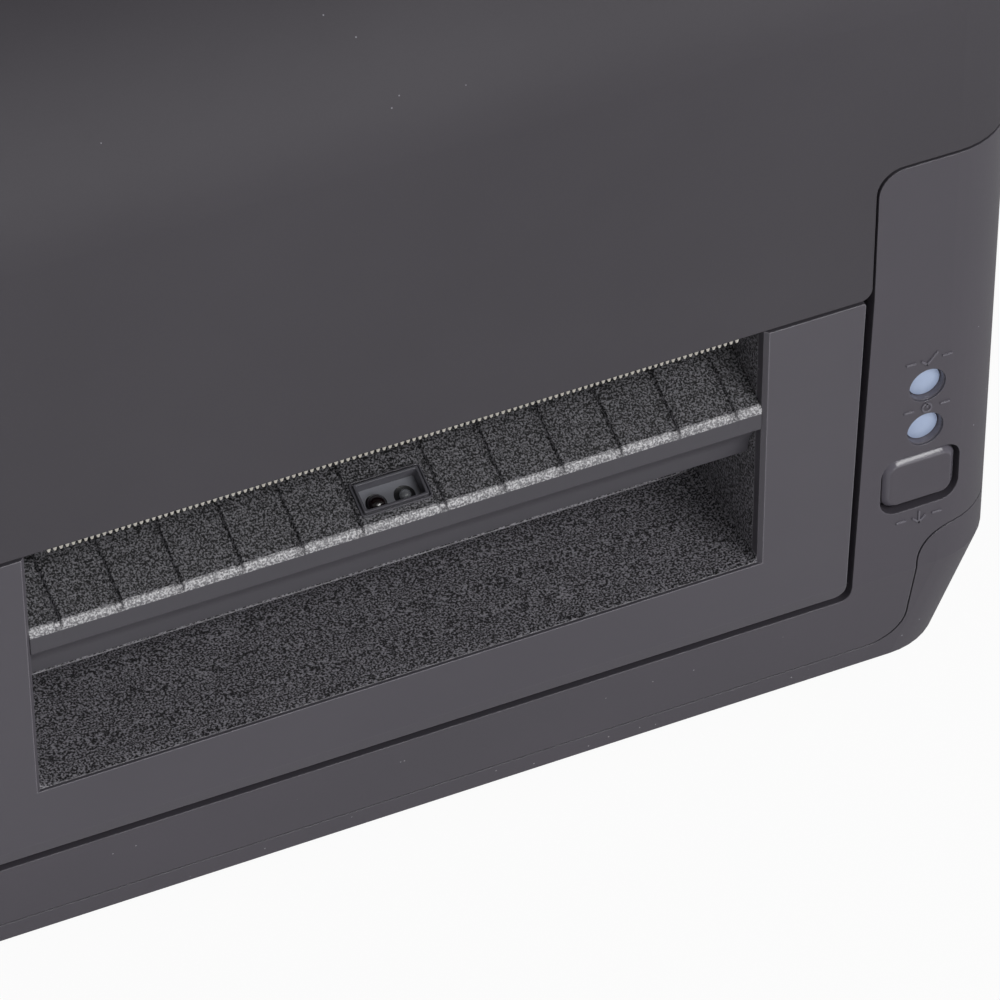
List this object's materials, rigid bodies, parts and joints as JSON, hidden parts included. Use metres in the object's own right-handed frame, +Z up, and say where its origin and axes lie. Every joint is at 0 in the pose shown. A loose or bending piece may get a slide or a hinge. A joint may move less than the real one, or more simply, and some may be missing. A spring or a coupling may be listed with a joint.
{
  "type": "label printer",
  "caption": "Desktop label printer with a rear-hinged cover, ribbed label exit above a recess, serrated tear bar, feed button and rear sockets.",
  "frame": {"origin": "middle of the footprint, on the surface that the feet stand on", "axes": "+X to the operator's right, +Y to the rear, +Z up"},
  "size_m": [0.216, 0.285, 0.19],
  "materials": {
    "case_plastic": "satin charcoal moulding",
    "textured_plastic": "spark-textured black moulding",
    "inner_plastic": "plain black moulding",
    "white_plastic": "natural acetal",
    "green_plastic": "green touch-point moulding",
    "foot_rubber": "moulded rubber",
    "platen_rubber": "ground silicone rubber",
    "frame_steel": "zinc-plated sheet steel",
    "stamped_steel": "stamped stainless strip",
    "shaft_steel": "ground steel",
    "screw_steel": "plated steel screws",
    "motor_black": "black painted steel",
    "brass": "turned brass",
    "aluminium": "extruded aluminium",
    "head_ceramic": "glazed ceramic",
    "circuit_board": "green circuit board laminate",
    "status_lens": "translucent pale blue diffuser",
    "smoked_lens": "dark infrared lens"
  },
  "bodies": {
    "base": {"base_tray": "case_plastic", "rubber_feet": "foot_rubber", "main_case": "case_plastic", "case_screws": "screw_steel", "front_panel": "case_plastic", "exit_tray": "textured_plastic", "exit_guide": "textured_plastic", "sensor_bezel": "textured_plastic", "sensor_emitter": "smoked_lens", "sensor_receiver": "smoked_lens", "sensor_board": "circuit_board", "side_frame_left": "frame_steel", "side_frame_right": "frame_steel", "frame_screws": "screw_steel", "platen_bearing_left": "white_plastic", "platen_bearing_right": "white_plastic", "idler_stud": "shaft_steel", "motor_body": "motor_black", "motor_screws": "screw_steel", "media_bay": "inner_plastic", "media_shelf": "inner_plastic", "hinge_bracket_left": "frame_steel", "hinge_bracket_right": "frame_steel", "hinge_pins": "shaft_steel", "hinge_screws": "screw_steel", "ready_lens": "status_lens", "power_lens": "status_lens", "control_board": "circuit_board", "control_screws": "screw_steel", "tact_switch": "inner_plastic", "main_board": "circuit_board", "board_parts": "inner_plastic", "board_screws": "screw_steel", "io_plate": "textured_plastic", "usb_socket": "shaft_steel", "network_socket": "inner_plastic", "dc_jack": "inner_plastic", "switch_housing": "inner_plastic"},
    "platen": {"platen_shaft": "shaft_steel", "platen_rubber": "platen_rubber", "platen_gear": "white_plastic"},
    "idler": {"idler_gear": "white_plastic"},
    "motor_rotor": {"motor_shaft": "shaft_steel", "motor_pinion": "brass"},
    "feed_button": {"feed_button": "case_plastic"},
    "gap_sensor": {"gap_sensor": "green_plastic"},
    "guide_left": {"media_guide_left": "inner_plastic"},
    "guide_right": {"media_guide_right": "inner_plastic"},
    "guide_pinion": {"guide_pinion": "white_plastic"},
    "hub_left": {"roll_hub_left": "green_plastic"},
    "hub_right": {"roll_hub_right": "green_plastic"},
    "power_rocker": {"power_rocker": "inner_plastic"},
    "cover": {"top_cover": "case_plastic", "tear_bar": "stamped_steel", "head_carrier": "inner_plastic", "cover_screws": "screw_steel", "head_pivot_pins": "shaft_steel", "head_springs": "shaft_steel"},
    "printhead": {"printhead_board": "head_ceramic", "printhead_sink": "aluminium"}
  },
  "joints": [
    {"name": "cover_hinge", "type": "hinge", "parent": "base", "child": "cover", "pos_m": [0, 0.126, 0.118], "axis": [-1, 0, 0], "range_deg": [0, 90]},
    {"name": "printhead_tilt", "type": "hinge", "parent": "cover", "child": "printhead", "pos_m": [0, -0.0845, 0.098], "axis": [-1, 0, 0], "range_deg": [0, 3], "stiffness_Nm_per_rad": 8, "springref_deg": -2.86, "deforming": ["head_springs"]},
    {"name": "platen_spin", "type": "hinge", "parent": "base", "child": "platen", "pos_m": [0, -0.1085, 0.0765], "axis": [1, 0, 0], "continuous": true},
    {"name": "idler_spin", "type": "hinge", "parent": "base", "child": "idler", "pos_m": [-0.0745, -0.08303, 0.05848], "axis": [1, 0, 0], "continuous": true},
    {"name": "motor_spin", "type": "hinge", "parent": "base", "child": "motor_rotor", "pos_m": [-0.0745, -0.0855, 0.033], "axis": [1, 0, 0], "continuous": true},
    {"name": "feed_button_press", "type": "slide", "parent": "base", "child": "feed_button", "axis": [0, 1, 0], "range_m": [0, 0.001], "stiffness_N_per_m": 800, "springref_m": -0.0005},
    {"name": "gap_sensor_slide", "type": "slide", "parent": "base", "child": "gap_sensor", "axis": [1, 0, 0], "range_m": [-0.042, 0.042]},
    {"name": "guide_right_slide", "type": "slide", "parent": "base", "child": "guide_right", "axis": [1, 0, 0], "range_m": [-0.034, 0.004]},
    {"name": "guide_left_slide", "type": "slide", "parent": "base", "child": "guide_left", "axis": [1, 0, 0], "range_m": [-0.004, 0.034]},
    {"name": "guide_pinion_spin", "type": "hinge", "parent": "base", "child": "guide_pinion", "pos_m": [0, 0.04125, 0.0288], "axis": [0, 0, 1], "range_deg": [-24, 196]},
    {"name": "hub_left_spin", "type": "hinge", "parent": "guide_left", "child": "hub_left", "pos_m": [-0.0476, 0.04125, 0.099], "axis": [1, 0, 0], "continuous": true},
    {"name": "hub_right_spin", "type": "hinge", "parent": "guide_right", "child": "hub_right", "pos_m": [0.0476, 0.04125, 0.099], "axis": [1, 0, 0], "continuous": true},
    {"name": "power_switch", "type": "hinge", "parent": "base", "child": "power_rocker", "pos_m": [-0.046, 0.13395, 0.0215], "axis": [0, 0, 1], "range_deg": [0, 16]}
  ],
  "couplings": [
    {"joint": "idler_spin", "follows": "platen_spin", "ratio": -0.625},
    {"joint": "motor_spin", "follows": "platen_spin", "ratio": 1.875},
    {"joint": "guide_left_slide", "follows": "guide_right_slide", "ratio": -1},
    {"joint": "guide_pinion_spin", "follows": "guide_right_slide", "rad_per_m": -100}
  ]
}
